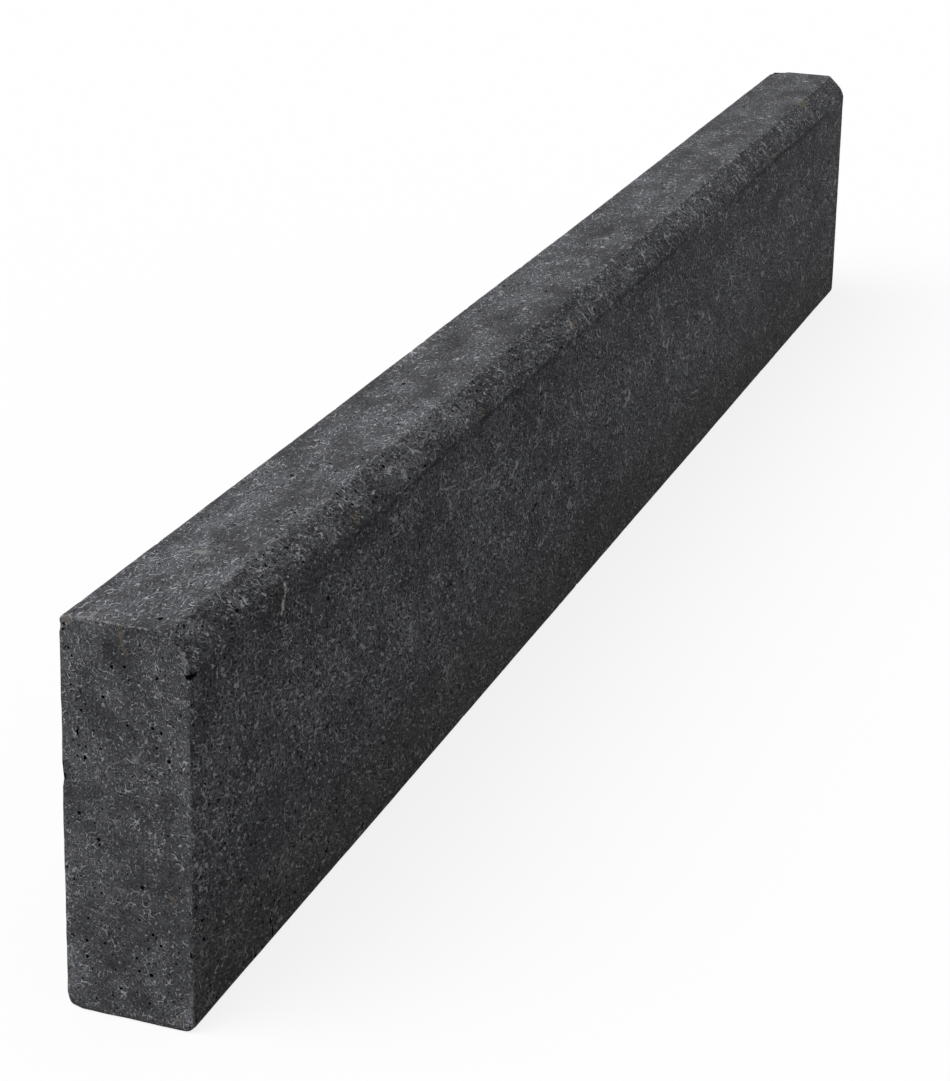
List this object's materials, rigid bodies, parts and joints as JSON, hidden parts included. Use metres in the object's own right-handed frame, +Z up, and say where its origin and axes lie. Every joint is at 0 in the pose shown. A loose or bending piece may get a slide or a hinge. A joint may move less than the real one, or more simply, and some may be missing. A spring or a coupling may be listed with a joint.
{
  "type": "concrete kerb stone",
  "caption": "Straight cast concrete edging kerb with one bevelled top edge, set on edge in a row to border paving or planting.",
  "frame": {"origin": "centre of the bed, the long narrow face that the stone stands on, midway along its length", "axes": "+X along the length, +Y from the bevelled front face to the plain back face, +Z up from the bed to the top"},
  "size_m": [1, 0.05, 0.15],
  "materials": {
    "concrete": "matt anthracite cast concrete, fine grained, with pale flecks and small dark pores"
  },
  "bodies": {
    "root": {"kerb_stone": "concrete"}
  },
  "joints": []
}
